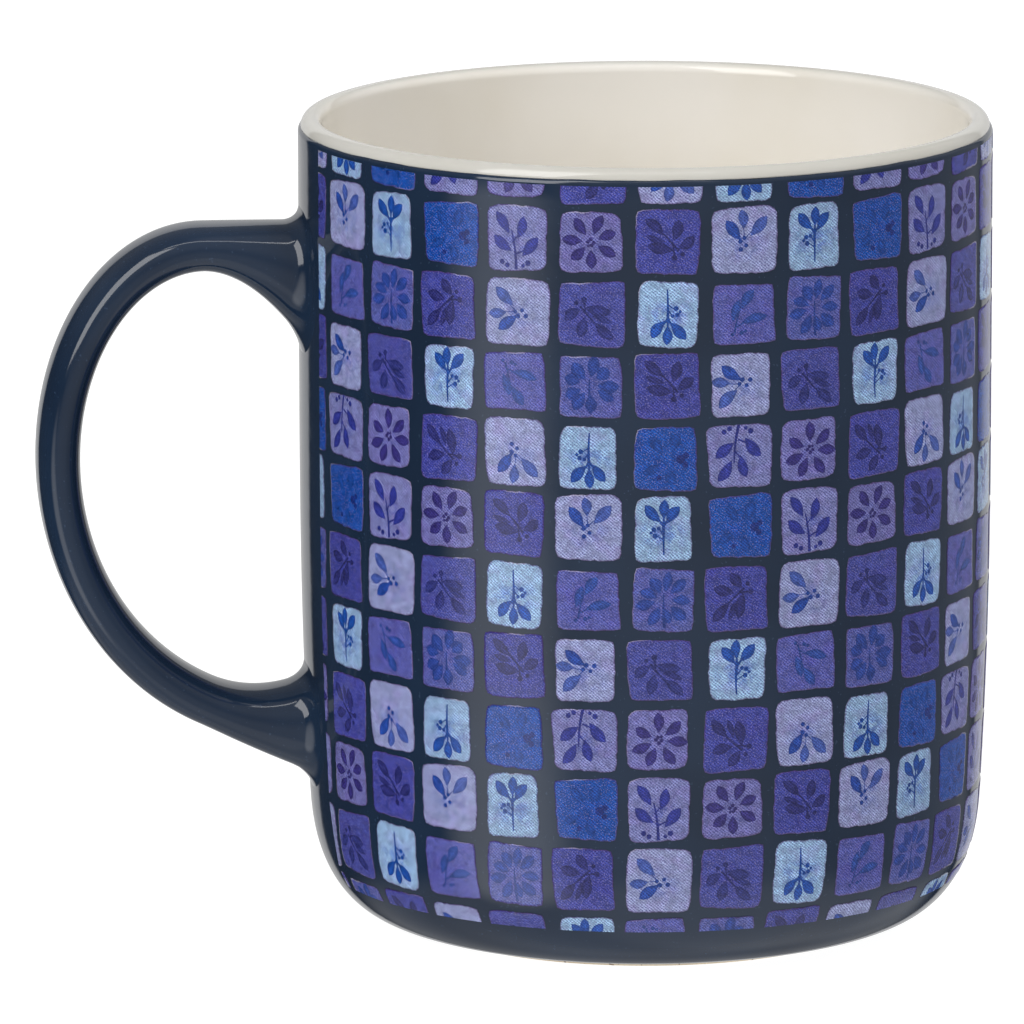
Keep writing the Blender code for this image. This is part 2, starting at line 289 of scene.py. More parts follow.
# ---------------------------------------------------------------- materials


class Nodes:
    """A material's node tree, with short ways to add nodes and join them."""

    def __init__(self, name):
        self.material = bpy.data.materials.new(name)
        self.material.use_nodes = True
        self.tree = self.material.node_tree
        self.shader = self.tree.nodes["Principled BSDF"]

    def add(self, kind, **settings):
        node = self.tree.nodes.new("ShaderNode" + kind)
        for key, value in settings.items():
            setattr(node, key, value)
        return node

    def put(self, socket, value):
        """Joins an output to a socket, or sets the socket's own value."""
        if isinstance(value, bpy.types.NodeSocket):
            self.tree.links.new(value, socket)
        elif isinstance(value, tuple) and len(value) == 3 and socket.type == "RGBA":
            socket.default_value = (*value, 1.0)
        else:
            socket.default_value = value

    def set(self, name, value):
        self.put(self.shader.inputs[name], value)

    def attribute(self, name):
        return self.add("Attribute", attribute_name=name)

    def math(self, operation, a, b=0.0, clamp=False):
        node = self.add("Math", operation=operation, use_clamp=clamp)
        self.put(node.inputs[0], a)
        self.put(node.inputs[1], b)
        return node.outputs[0]

    def noise(self, vector, scale, detail=2.0, roughness=0.5, distortion=0.0):
        node = self.add("TexNoise")
        self.put(node.inputs["Vector"], vector)
        self.put(node.inputs["Scale"], scale)
        self.put(node.inputs["Detail"], detail)
        self.put(node.inputs["Roughness"], roughness)
        self.put(node.inputs["Distortion"], distortion)
        return node.outputs["Fac"]

    def ramp(self, value, low, high, start=0.0, end=1.0, smooth=True):
        """Value between low and high, mapped to between start and end."""
        node = self.add("MapRange", interpolation_type="SMOOTHSTEP" if smooth else "LINEAR")
        self.put(node.inputs["Value"], value)
        node.inputs["From Min"].default_value = low
        node.inputs["From Max"].default_value = high
        node.inputs["To Min"].default_value = start
        node.inputs["To Max"].default_value = end
        return node.outputs["Result"]

    def mix(self, factor, a, b, blend="MIX"):
        node = self.add("Mix", data_type="RGBA", blend_type=blend)
        self.put(node.inputs[0], factor)
        self.put(node.inputs[6], a)
        self.put(node.inputs[7], b)
        return node.outputs[2]

    def scaled(self, color, amount):
        """A colour made brighter or darker by an amount that varies."""
        node = self.add("VectorMath", operation="SCALE")
        self.put(node.inputs[0], color)
        self.put(node.inputs["Scale"], amount)
        return node.outputs[0]

    def bump(self, height, strength, distance):
        node = self.add("Bump")
        self.put(node.inputs["Height"], height)
        node.inputs["Strength"].default_value = strength
        node.inputs["Distance"].default_value = distance
        self.set("Normal", node.outputs[0])

    def place(self):
        """Where a point is in the frame, in metres."""
        return self.add("TexCoord").outputs["Object"]


def clay_material():
    n = Nodes("bisque_stoneware")
    place = n.place()
    grain = n.noise(place, 2600.0, 4.0, 0.65)
    cloud = n.noise(place, 90.0, 3.0)
    fleck = n.ramp(n.noise(place, 1500.0, 1.0), 0.66, 0.72)
    body = n.mix(n.ramp(cloud, 0.35, 0.65), linear(196, 178, 152), linear(212, 197, 172))
    body = n.mix(fleck, body, linear(120, 96, 74))
    n.set("Base Color", n.scaled(body, n.ramp(grain, 0.3, 0.7, 0.88, 1.08)))
    n.set("Roughness", n.ramp(grain, 0.3, 0.7, 0.78, 0.92))
    n.bump(grain, 0.35, 0.00012)
    return n.material


def cream_material():
    """Glossy cream, with painted shade that greys the lip from just past its inner edge outwards."""
    n = Nodes("cream_glaze")
    place = n.place()
    cloud = n.noise(place, 38.0, 3.0)
    skin = n.noise(place, 260.0, 2.0)
    axes = n.add("SeparateXYZ")
    n.put(axes.inputs[0], place)
    across = n.math("SUBTRACT", axes.outputs["X"], AXIS_X * MM)
    reach = n.math("POWER", across, 2.0)
    reach = n.math("SQRT", n.math("ADD", reach, n.math("POWER", axes.outputs["Y"], 2.0)))
    # rim masks the painted shade on the lip, by distance from the axis
    rim = n.ramp(reach, (INNER_LIP_RADIUS - 0.2) * MM, (INNER_LIP_RADIUS + 1.0) * MM)
    body = n.mix(n.ramp(cloud, 0.3, 0.7), linear(232, 227, 217), linear(237, 233, 226))
    # Painted shade: the lip is greyed, from just past its inner edge outwards, to darken it
    n.set("Base Color", n.mix(rim, body, n.mix(1.0, body, (0.60, 0.61, 0.61), "MULTIPLY")))
    n.set("Roughness", n.ramp(skin, 0.3, 0.7, 0.06, 0.11))
    n.set("IOR", 1.5)
    n.bump(skin, 0.06, 0.0002)
    return n.material


def navy_material():
    n = Nodes("navy_glaze")
    place = n.place()
    cloud = n.noise(place, 55.0, 3.0)
    skin = n.noise(place, 420.0, 3.0)
    speck = n.ramp(n.noise(place, 2300.0, 1.0), 0.70, 0.76)
    body = n.mix(n.ramp(cloud, 0.3, 0.7), linear(22, 35, 53), linear(27, 42, 62))
    n.set("Base Color", n.mix(n.math("MULTIPLY", speck, 0.35), body, linear(60, 78, 104)))
    n.set("Roughness", n.ramp(skin, 0.3, 0.7, 0.06, 0.11))
    n.set("IOR", 1.5)
    n.bump(skin, 0.05, 0.0002)
    return n.material


def tile_material():
    """Ink under gloss: a canvas-like twill, watercolour clouds, specks and a darker rim."""
    n = Nodes("tile_transfer")
    ink = n.attribute("ink")
    sheet = n.attribute("sheet").outputs["Vector"]
    wash = n.attribute("wash").outputs["Vector"]
    inner = n.attribute("inner").outputs["Fac"]
    leafy = ink.outputs["Alpha"]

    # Pinkish clouds, on the ground more than on the leaves
    cloud = n.ramp(n.noise(sheet, 0.34, 4.0, 0.6), 0.46, 0.68)
    tint = n.math("MULTIPLY", cloud, n.ramp(leafy, 0.0, 1.0, 0.6, 0.25))
    pinker = n.mix(1.0, ink.outputs["Color"], (1.02, 0.80, 0.98), "MULTIPLY")
    color = n.mix(tint, ink.outputs["Color"], pinker)

    # Wash of the leaf colour, smudged beside the stem
    split = n.add("SeparateXYZ")
    n.put(split.inputs[0], wash)
    smudge = n.ramp(n.noise(sheet, 0.85, 3.0, 0.55, 0.6), 0.38, 0.60)
    stain = n.math("MULTIPLY", smudge, split.outputs["X"])
    stain = n.math("MULTIPLY", stain, n.math("SUBTRACT", 1.0, leafy))
    color = n.mix(stain, color, n.mix(1.0, color, (0.36, 0.46, 0.82), "MULTIPLY"))

    # Twill: light threads that fall to the right, over darker violet gaps
    axes = n.add("SeparateXYZ")
    n.put(axes.inputs[0], sheet)
    slant = n.math("MULTIPLY", axes.outputs["X"], 12.6)
    slant = n.math("ADD", slant, n.math("MULTIPLY", axes.outputs["Y"], 15.6))
    bend = n.math("MULTIPLY", n.noise(sheet, 1.8, 1.0), 7.0)
    twill = n.math("SINE", n.math("ADD", slant, bend))
    weft = n.math("SUBTRACT", axes.outputs["X"], axes.outputs["Y"])
    weft = n.math("SINE", n.math("MULTIPLY", weft, 14.0))
    weave = n.math("ADD", n.math("MULTIPLY", twill, 0.5), n.math("MULTIPLY", weft, 0.22))
    fade = n.ramp(n.noise(sheet, 0.9, 2.0), 0.3, 0.7, 0.35, 1.0)
    grain = n.noise(sheet, 4.4, 3.0, 0.7)
    threads = n.math("MULTIPLY", weave, fade)
    threads = n.math("ADD", threads, n.ramp(grain, 0.28, 0.72, -0.5, 0.5, False))
    threads = n.ramp(threads, -0.62, 0.62, 0.0, 1.0, False)
    gaps = n.mix(1.0, color, (0.36, 0.33, 0.50), "MULTIPLY")
    raised = n.mix(1.0, color, (1.90, 1.98, 1.66), "MULTIPLY")
    color = n.mix(threads, gaps, raised)
    blot = n.ramp(n.noise(sheet, 0.9, 4.0, 0.65), 0.3, 0.7, 0.74, 1.26)
    color = n.scaled(color, blot)

    # Pale specks, few of them on the leaves
    speck = n.ramp(n.noise(sheet, 6.0, 1.0), 0.58, 0.68)
    speck = n.math("MULTIPLY", speck, n.ramp(leafy, 0.0, 1.0, 0.36, 0.08))
    color = n.mix(speck, color, linear(170, 158, 204))

    # Darker, patchy rim
    patchy = n.ramp(n.noise(sheet, 2.4, 2.0), 0.3, 0.6, 0.25, 0.85)
    rim = n.math("MULTIPLY", n.ramp(inner, 0.0, 0.9, 1.0, 0.0), patchy)
    color = n.mix(rim, color, linear(66, 44, 92))
    n.set("Base Color", color)
    n.set("Roughness", n.ramp(grain, 0.3, 0.7, 0.10, 0.17))
    n.set("IOR", 1.5)
    n.bump(threads, 0.12, 0.00004)
    return n.material


def floor_material():
    """A white table lit from below, so that the mug casts no shadow on it."""
    n = Nodes("pale_floor")
    dust = n.noise(n.place(), 14.0, 3.0)
    n.set("Base Color", n.mix(dust, (0.18, 0.18, 0.18), (0.2, 0.2, 0.2)))
    n.set("Roughness", 0.9)
    n.set("Specular IOR Level", 0.1)
    n.set("Emission Color", (1.0, 1.0, 1.0))
    n.set("Emission Strength", 0.98)
    return n.material


# ---------------------------------------------------------------- cup


def build_cup(clay, cream, navy):
    """The clay, the cream liner that folds over the lip, and the navy coat."""
    foot_inner = FOOT_OUTER - FOOT_WIDTH
    edge = FOOT_EDGE
    body_inside = LINER_THICKNESS + CLAY_GAP
    body = inner_outline(body_inside, 16)
    body += lip_outline(
        INNER_LIP_RADIUS + body_inside, CUP_RADIUS - BODY_DEPTH, CUP_HEIGHT - body_inside, 12
    )
    body += outer_outline(BODY_DEPTH, CUP_HEIGHT - 2 * LIP_BAND, 12, 24)
    body += [(FOOT_OUTER, 2.2), (FOOT_OUTER, 1.4)]
    body += arc((FOOT_OUTER - edge, edge), edge, 0, -90, 6)
    body += arc((foot_inner + edge, edge), edge, -90, -180, 6)
    body += arc((foot_inner - edge, FOOT_RECESS - edge), edge, 0, 90, 6)
    for i in range(1, 26):
        groove = 0.05 * (1 if i % 2 else -1)
        radius = (foot_inner - 2 * edge) * (1 - i / 26)
        body.append((radius, FOOT_RECESS + groove))
    body.append((0.0, FOOT_RECESS))
    cup_clay = turned("cup_clay", body, clay)

    liner = inner_outline(0.0, 24)
    liner += lip_outline(INNER_LIP_RADIUS, CUP_RADIUS - LIP_INSET, CUP_HEIGHT, 28)
    back = INNER_LIP_RADIUS + LINER_THICKNESS
    liner_edge = CUP_RADIUS - LINER_EDGE_DEPTH
    liner += lip_outline(back, liner_edge, CUP_HEIGHT - LINER_THICKNESS, 12)[::-1]
    liner += inner_outline(LINER_THICKNESS, 8)[::-1]
    cup_liner = turned("cup_liner", liner, cream)

    # The coat's rounded top edge, out from its face and up from the lip's lower edge
    bead = ((-1.0, 0.10), (-0.75, 0.03), (-0.5, -0.02))
    bead += ((-0.3, -0.10), (-0.14, -0.24), (-0.04, -0.42))
    face = CUP_RADIUS - COAT_DEPTH
    top_z = CUP_HEIGHT - LIP_BAND + 0.1
    coat = [(face + out, top_z + up) for out, up in bead]
    coat += outer_outline(COAT_DEPTH, top_z - 0.7, 40, 56)
    coat += arc((FOOT_OUTER + 0.12, 1.02), 0.28, -90, -180, 4)
    coat += outer_outline(COAT_BACK_DEPTH, top_z - 0.7, 12, 24)[::-1]

    def wave(angle, z):
        """The coat's top edge wanders a little round the lip."""
        near = min(max((z - top_z + 1.2) / 1.0, 0.0), 1.0)
        wander = math.sin(7 * angle + 1.1) + 0.8 * math.sin(19 * angle)
        wander += 0.6 * math.sin(43 * angle + 2)
        return 0.05 * near * wander

    cup_glaze = turned("cup_glaze", coat, navy, wave)
    return cup_clay, cup_liner, cup_glaze


# ---------------------------------------------------------------- handle


def flare(reach):
    """How far the handle has widened at this distance from the axis, 0 to 1."""
    near = max(0.0, CUP_RADIUS + FLARE_LENGTH - reach) / FLARE_LENGTH
    return min(near, 1.0) ** FLARE_POWER


def handle_line():
    """Centre line as (reach, z, direction, levelness), from the upper joint to the lower."""
    upper_z = CUP_HEIGHT - UPPER_ARM_DROP
    widest_z = LOWER_ARM_Z + LOWER_BEND_RISE
    widest = HANDLE_EDGE - SIDE_THICKNESS / 2
    upper_start = CUP_RADIUS + UPPER_ARM_LENGTH
    lower_end = CUP_RADIUS + LOWER_ARM_LENGTH
    line = []
    for reach in np.concatenate([END_REACHES, np.linspace(END_REACHES[-1], upper_start, 28)[1:-1]]):
        line.append((reach, upper_z, 0.0, 1.0))
    for turn in np.linspace(0, math.pi / 2, 48)[:-1]:
        across = (widest - upper_start) * math.cos(turn)
        down = (upper_z - widest_z) * math.sin(turn)
        reach = upper_start + (widest - upper_start) * math.sin(turn)
        z = widest_z + (upper_z - widest_z) * math.cos(turn)
        line.append((reach, z, -math.atan2(down, across), math.cos(turn) ** 2))
    for turn in np.linspace(0, math.pi / 2, 72):
        across = -(widest - lower_end) * math.sin(turn)
        down = (widest_z - LOWER_ARM_Z) * math.cos(turn)
        reach = lower_end + (widest - lower_end) * math.cos(turn)
        z = widest_z - (widest_z - LOWER_ARM_Z) * math.sin(turn)
        line.append((reach, z, -math.atan2(down, across), math.sin(turn) ** 2))
    for reach in END_REACHES[::-1]:
        if reach < lower_end:
            line.append((reach, LOWER_ARM_Z, -math.pi, 1.0))
    return line, widest_z


def tube_faces(rings):
    """Quads between each ring of a tube and the next."""
    faces = []
    for k in range(rings - 1):
        a, b = k * SECTION_STEPS, (k + 1) * SECTION_STEPS
        for i in range(SECTION_STEPS):
            j = (i + 1) % SECTION_STEPS
            faces.append((a + i, a + j, b + j, b + i))
    return faces


def build_handle(clay, navy):
    """The clay strap, then its glaze and its two joints as one skin cut in three.

    The strap's ends spread, lie against the curve of the wall, and run out on it in a
    fillet of glaze.
    """
    line, widest_z = handle_line()
    turns = 2 * math.pi * np.arange(SECTION_STEPS) / SECTION_STEPS
    bulge = 2 / SECTION_POWER
    ups = np.sign(np.cos(turns)) * np.abs(np.cos(turns)) ** bulge
    acrosses = np.sign(np.sin(turns)) * np.abs(np.sin(turns)) ** bulge
    grid = []
    for reach, z, direction, level in line:
        widening = flare(reach)
        upper = z > widest_z
        half = (SIDE_THICKNESS + (ARM_THICKNESS - SIDE_THICKNESS) * level) / 2
        end_half = (UPPER_END_HEIGHT if upper else LOWER_END_HEIGHT) / 2
        half += (end_half - half) * widening
        half_width = (HANDLE_WIDTH + (END_WIDTH - HANDLE_WIDTH) * widening) / 2
        middle_z = z - (UPPER_SAG if upper else LOWER_SAG) * widening
        hug = min(max((CUP_RADIUS + HUG_LENGTH - reach) / HUG_LENGTH, 0.0), 1.0) ** 1.5
        ring = []
        for up, across in zip(ups, acrosses):
            size = FILLET * (0.72 + 0.28 * abs(across))
            height = max(reach - CUP_RADIUS, 0.0) * size / FILLET
            gap = min(height / size, 1.0)
            spread = size * (1 - math.sqrt(1 - (1 - gap) ** 2))
            angle = math.atan2(across * half_width, up * half)
            # rise is square to the centre line, in the handle's own plane
            rise = up * half + spread * math.cos(angle)
            y = across * half_width + spread * math.sin(angle)
            point_reach = reach - rise * math.sin(direction)
            point_z = middle_z + rise * math.cos(direction)
            wall = math.sqrt(wall_radius(point_z) ** 2 - y**2)
            point_reach += hug * (wall - CUP_RADIUS)
            ring.append((-point_reach, y, point_z))
        grid.append(ring)
    grid = np.array(grid)
    along = np.gradient(grid, axis=0)
    round_ = np.roll(grid, -1, 1) - np.roll(grid, 1, 1)
    normals = unit_rows(np.cross(round_, along))
    last = len(grid) - 1
    ends = (0, UPPER_JOINT_RINGS, last - LOWER_JOINT_RINGS, last)
    names = ("upper_joint", "handle_skin", "lower_joint")
    pieces = []
    # Each shell is a tube that goes back inside itself and closes on its first ring
    for name, start, end in zip(names, ends, ends[1:]):
        face, facing = grid[start : end + 1], normals[start : end + 1]
        back = (face - HANDLE_COAT * facing)[::-1]
        points = np.concatenate([face, back]).reshape(-1, 3)
        faces = [[c % len(points) for c in corners] for corners in tube_faces(2 * len(face) + 1)]
        shell_normals = np.concatenate([facing, -facing[::-1]]).reshape(-1, 3)
        pieces.append(new_piece(name, points, faces, shell_normals, navy))

    first = len(END_REACHES)
    face, facing = grid[first:-first], normals[first:-first]
    core = (face - CORE_DEPTH * facing).reshape(-1, 3)
    caps = [list(range(SECTION_STEPS))[::-1], list(range(len(core) - SECTION_STEPS, len(core)))]
    faces = tube_faces(len(face)) + caps
    handle_clay = new_piece("handle_clay", core, faces, facing.reshape(-1, 3), clay)
    return handle_clay, *pieces


# ---------------------------------------------------------------- printed tiles

LEAF_STEPS = 8
DOT_STEPS = 8
RIB_SHADE = 1.3  # brightness of a leaf's ink along its middle
EDGE_SHADE = 0.84  # and at its edge

# Width, height, squareness, ground ink, leaf ink, paler leaf ink, amount of wash
TILES = {
    "sprig": (7.4, 8.2, 8.0, (117, 143, 178), (19, 57, 129), (19, 57, 129), 0.9),
    "trefoil": (8.2, 8.1, 9.0, (118, 124, 166), (27, 55, 129), (51, 69, 135), 0.6),
    "branch": (8.2, 8.0, 8.5, (96, 99, 149), (33, 39, 112), (33, 39, 112), 0.6),
    "rosette": (7.6, 7.9, 8.0, (87, 87, 143), (39, 34, 94), (39, 34, 94), 0.4),
    "dark": (8.1, 8.0, 15.0, (47, 52, 125), (31, 33, 87), (31, 33, 87), 0.2),
    "dusk": (8.1, 8.0, 15.0, (53, 58, 127), (35, 39, 95), (35, 39, 95), 0.3),
    "blades": (8.2, 7.4, 17.0, (66, 70, 137), (34, 56, 121), (34, 56, 121), 0.4),
    "dense": (7.8, 7.8, 16.0, (65, 72, 136), (32, 52, 120), (32, 52, 120), 0.3),
    "blue": (7.7, 7.9, 14.0, (12, 59, 136), (15, 52, 122), (20, 40, 110), 0.2),
}

# Each row of the repeat: what each tile shows, its turn in degrees, and if it is mirrored
REPEAT = (
    (
        ("trefoil", 0, False), ("sprig", 0, True), ("blue", 0, False),
        ("branch", 0, False), ("rosette", 0, False), ("dark", 0, False),
    ),
    (
        ("blades", 0, False), ("dense", 0, False), ("dark", 90, False),
        ("trefoil", 90, False), ("dusk", 180, False), ("sprig", 180, True),
    ),
    (
        ("trefoil", 90, True), ("dusk", 180, False), ("sprig", 0, False),
        ("blades", 180, True), ("dense", 0, False), ("dark", 0, False),
    ),
    (
        ("branch", 180, True), ("rosette", 180, False), ("dark", 90, True),
        ("trefoil", 180, True), ("sprig", 180, False), ("blue", 0, False),
    ),
)
REPEAT_SHIFT = 2  # columns that each repeat moves along from the one above


def leaf(x0, y0, x1, y1, width, bend):
    """A pointed leaf from its foot to its tip, widest past its middle."""
    foot, tip = np.array((x0, y0)), np.array((x1, y1))
    along = tip - foot
    length = np.linalg.norm(along)
    side = np.array((-along[1], along[0])) / length
    right, left = [], []
    for i in range(LEAF_STEPS + 1):
        share = i / LEAF_STEPS
        half = width / 2 * math.sin(math.pi * share**1.2) ** 0.8
        middle = foot + along * share + side * bend * length * math.sin(math.pi * share)
        right.append(middle - side * half)
        left.append(middle + side * half)
    return right + left[-2:0:-1]


def stem(x0, y0, x1, y1, width, bend):
    """A thin stem from its thick end to its thin end."""
    foot, tip = np.array((x0, y0)), np.array((x1, y1))
    along = tip - foot
    length = np.linalg.norm(along)
    side = np.array((-along[1], along[0])) / length
    right, left = [], []
    for share in (0.0, 0.25, 0.5, 0.75, 1.0):
        half = width / 2 * (1 - 0.55 * share)
        middle = foot + along * share + side * bend * length * math.sin(math.pi * share)
        right.append(middle - side * half)
        left.append(middle + side * half)
    return right + left[::-1]


def dot(x, y, radius):
    turns = 2 * math.pi * np.arange(DOT_STEPS) / DOT_STEPS
    return [np.array((x + radius * math.cos(t), y + radius * math.sin(t))) for t in turns]


def motif(kind, draw):
    """What is drawn on a tile, seen upright, as (polygon, is pale, points of its midrib)."""
    shapes = []

    def leaves(*rows, pale=False):
        for row in rows:
            edge = leaf(*row, draw.uniform(-0.07, 0.07))
            rib = [(edge[i] + edge[-i]) / 2 for i in range(1, LEAF_STEPS)]
            shapes.append((edge, pale, rib))

    def stems(*rows):
        for row in rows:
            shapes.append((stem(*row, draw.uniform(-0.035, 0.035)), False, []))

    def dots(*rows, pale=False):
        for row in rows:
            shapes.append((dot(*row), pale, []))

    if kind == "sprig":
        stems((-0.05, 1.0, -0.1, -3.2, 0.42))
        stems((-0.05, -0.6, 0.7, 0.3, 0.24), (-0.1, -1.3, 0.9, -0.6, 0.2))
        leaves((0.3, 1.0, 2.25, 3.2, 1.45), (-0.1, 1.4, -0.2, 3.9, 1.3), (-0.45, 0.8, -2.1, 3.0, 1.4))
        stems((0.0, 0.6, 0.6, 1.5, 0.4), (-0.1, 0.6, -0.7, 1.4, 0.4), (-0.08, 0.9, -0.1, 2.0, 0.34))
        dots((1.15, 0.05, 0.32), (0.55, 0.2, 0.26), (1.0, -0.75, 0.34), (1.5, -0.35, 0.22))
    elif kind == "trefoil":
        stems((-0.2, -0.2, -0.9, 0.8, 0.2), (0.1, 0.2, 0.9, 1.0, 0.16), (0.0, 0.2, -0.1, 1.9, 0.14))
        leaves((-0.5, 0.0, -2.4, 2.6, 1.5))
        leaves((-0.1, 1.4, -0.4, 3.9, 1.35), (0.75, 0.5, 3.0, 2.9, 1.55), pale=True)
        dots((-0.55, -0.15, 0.3), (0.0, 0.28, 0.28), (0.22, -0.66, 0.28), (-0.48, -1.15, 0.32))
    elif kind == "branch":
        stems((-0.2, -3.9, -0.8, 1.0, 0.42), (-0.3, -2.0, 1.0, -1.4, 0.3), (-0.7, -0.5, 0.1, 0.5, 0.26))
        leaves((-1.1, 0.6, -2.9, 3.3, 1.4), (0.0, 0.0, 0.8, 2.9, 1.35), (-0.8, -1.6, -3.2, 0.3, 1.5))
        leaves((0.6, -2.2, 2.7, 0.3, 1.5))
        dots((-2.1, -3.0, 0.36), (-1.4, -3.4, 0.34), (1.35, -3.0, 0.38), (0.7, -3.4, 0.26))
    elif kind == "rosette":
        for angle in (124, 66, 22, -29, -88, -138, 176):
            turn = math.radians(angle)
            reach = 3.6 + draw.uniform(-0.2, 0.15)
            c, s = math.cos(turn), math.sin(turn)
            leaves((c, s, reach * c, reach * s, 1.4))
        dots((0.0, 0.32, 0.27), (0.38, -0.1, 0.26), (-0.36, 0.0, 0.25))
        dots((0.12, -0.45, 0.24), (-0.3, -0.5, 0.2))
    elif kind in ("dark", "dusk"):
        stems((1.4, -0.9, -1.0, 1.8, 0.34), (0.9, -1.4, 0.7, 0.0, 0.3))
        leaves((-0.4, 1.1, -2.8, 3.2, 1.35), (0.8, -0.8, -2.5, -0.2, 1.5), (0.8, 0.4, 1.5, 3.1, 1.45))
        leaves((1.4, -0.6, 3.4, 0.9, 1.4), (-0.2, 0.3, -2.7, 1.1, 0.8))
        dots((0.9, -1.75, 0.38), (1.9, -1.3, 0.3))
    elif kind == "blades":
        stems((-1.2, -2.4, -0.4, 0.8, 0.28), (-0.9, -1.6, 0.2, -1.0, 0.22))
        leaves((-0.3, 0.6, 1.3, 3.0, 1.4), (-1.5, -1.0, -0.6, 1.8, 1.2), (-0.4, -1.25, 3.1, -0.4, 1.25))
        dots((-0.3, -2.4, 0.3), (0.2, -2.2, 0.22), (-1.5, -2.6, 0.26))
    elif kind == "dense":
        for i in range(9):
            turn = 2 * math.pi * (i + draw.uniform(-0.2, 0.2)) / 9
            inside, outside = draw.uniform(0.7, 1.3), draw.uniform(3.2, 3.9)
            c, s = math.cos(turn), math.sin(turn)
            leaves((inside * c, inside * s, outside * c, outside * s, draw.uniform(1.3, 1.75)))
        stems((0.1, -3.6, 0.0, 0.8, 0.4))
    else:
        leaves((-0.4, 0.6, -2.0, 2.8, 1.3), (0.9, 0.8, 1.5, 3.3, 1.5), (0.3, -1.2, 0.9, -3.4, 1.3))
        leaves((-0.8, -0.7, -2.9, -1.9, 1.2))
        dots((1.8, -0.1, 0.6), (2.5, 0.4, 0.4), (2.4, -0.8, 0.4), (-0.9, -2.4, 0.34), pale=True)
    return shapes


def tile_outline(width, height, power, draw):
    """A hand-cut square: its corners wander, its sides bow and its edge is ragged."""
    corner = [draw.uniform(-CORNER_WANDER, CORNER_WANDER) for _ in range(8)]
    bows = [draw.uniform(-0.12, 0.2) for _ in range(4)]
    waves = []
    for count in (5, 9, 14, 23):
        start = draw.uniform(0, 6.3)
        waves.append((count, start, RAGGEDNESS * draw.uniform(0.5, 1.3)))
    points = []
    for i in range(OUTLINE_STEPS):
        turn = 2 * math.pi * (i + 0.5) / OUTLINE_STEPS
        c, s = math.cos(turn), math.sin(turn)
        reach = (abs(c) ** power + abs(s) ** power) ** (-1 / power)
        ripple = sum(size * math.sin(count * turn + start) for count, start, size in waves)
        reach += 2 * ripple / width
        a, b = reach * c, reach * s
        x = width / 2 * a
        y = height / 2 * b
        x += bows[0 if a > 0 else 1] * a * (1 - b * b)
        y += bows[2 if b > 0 else 3] * b * (1 - a * a)
        for k, (p, q) in enumerate(((1, 1), (-1, 1), (-1, -1), (1, -1))):
            share = (1 + p * a) * (1 + q * b) / 4
            x += corner[2 * k] * share
            y += corner[2 * k + 1] * share
        points.append(np.array((x, y)))
    return points


def clipped(polygon, axis, limit, sign):
    """The part of a polygon where sign * coordinate is below sign * limit."""
    kept = []
    for i, point in enumerate(polygon):
        before = polygon[i - 1]
        here, there = sign * (limit - point[axis]), sign * (limit - before[axis])
        if (here >= 0) != (there >= 0):
            kept.append(before + (point - before) * there / (there - here))
        if here >= 0:
            kept.append(point)
    return kept


def tile_shapes(row, column):
    """Polygons of one tile on the sheet, with their inks: outline, rim, then the motif."""
    block, row_in_repeat = divmod(row - 1, len(REPEAT))
    place = (column + REPEAT_SHIFT * block) % len(REPEAT[0])
    kind, degrees, mirrored = REPEAT[row_in_repeat][place]
    width, height, squareness, ground, leaf_ink, pale_ink, wash = TILES[kind]
    draw = random.Random(100 * row_in_repeat + place)
    outline = tile_outline(width, height, squareness, draw)
    rim = [p * (1 - RIM_WIDTH / max(np.linalg.norm(p), 1.0)) for p in outline]
    turn = math.radians(degrees)
    spin = np.array(((math.cos(turn), -math.sin(turn)), (math.sin(turn), math.cos(turn))))
    flip = np.array((-1.0 if mirrored else 1.0, 1.0))
    tone = 1 + draw.uniform(-0.06, 0.06)
    shapes = [(outline, ground, 0.0), (rim, ground, 0.0)]
    ribs = []
    for polygon, pale, rib in motif(kind, draw):
        placed = [spin @ (p * flip) for p in polygon]
        shapes.append((placed[::-1] if mirrored else placed, pale_ink if pale else leaf_ink, 1.0))
        ribs += [spin @ (p * flip) for p in rib]
    z = FIRST_ROW_Z - TILE_PITCH_Z * (row - 1)
    u = FIRST_COLUMN_U + TILE_PITCH_U * column + SHEET_LEAN * (z - FIRST_ROW_Z)
    wobble = np.array((draw.uniform(-0.2, 0.2), draw.uniform(-0.15, 0.15)))
    middle = np.array((u, z)) + wobble
    shapes = [([p + middle for p in polygon], ink, leafy) for polygon, ink, leafy in shapes]
    return shapes, [p + middle for p in ribs], middle, tone, wash


def wall_points(places, depth):
    """Points depth behind the wall's face, and their normals, for rows of (u, z)."""
    points, normals = [], []
    for u, z in places:
        angle = u / CUP_RADIUS
        outward, upward = wall_normal(z)
        radius, height = wall_radius(z) - depth * outward, z - depth * upward
        points.append((-radius * math.cos(angle), -radius * math.sin(angle), height))
        normals.append((-outward * math.cos(angle), -outward * math.sin(angle), upward))
    return points, normals


def tile_triangles(shapes, ribs, middle):
    """The tile's outline cut into triangles along the edges of all its polygons.

    Gives the points, the triangles with the last polygon that each lies in, and the sets
    of points that lie on the outline and on midribs.
    """
    places, rings = [], []
    for polygon, _, _ in shapes:
        rings.append(list(range(len(places), len(places) + len(polygon))))
        places += polygon
    rib_start, rib_end = len(places), len(places) + len(ribs)
    places += ribs
    steps = np.arange(-GRID_REACH, GRID_REACH + 0.1, GRID_STEP)
    places += [middle + (dx, dy) for dx in steps for dy in steps]
    made = delaunay_2d_cdt([Vector(p) for p in places], [], rings, 1, 1e-5)
    found, _, triangles, sources, _, owners = made
    kept = [(triangle, max(own)) for triangle, own in zip(triangles, owners) if 0 in own]
    outer = {i for i, old in enumerate(sources) if any(s < len(rings[0]) for s in old)}
    on_ribs = {i for i, old in enumerate(sources) if any(rib_start <= s < rib_end for s in old)}
    return found, kept, outer, on_ribs


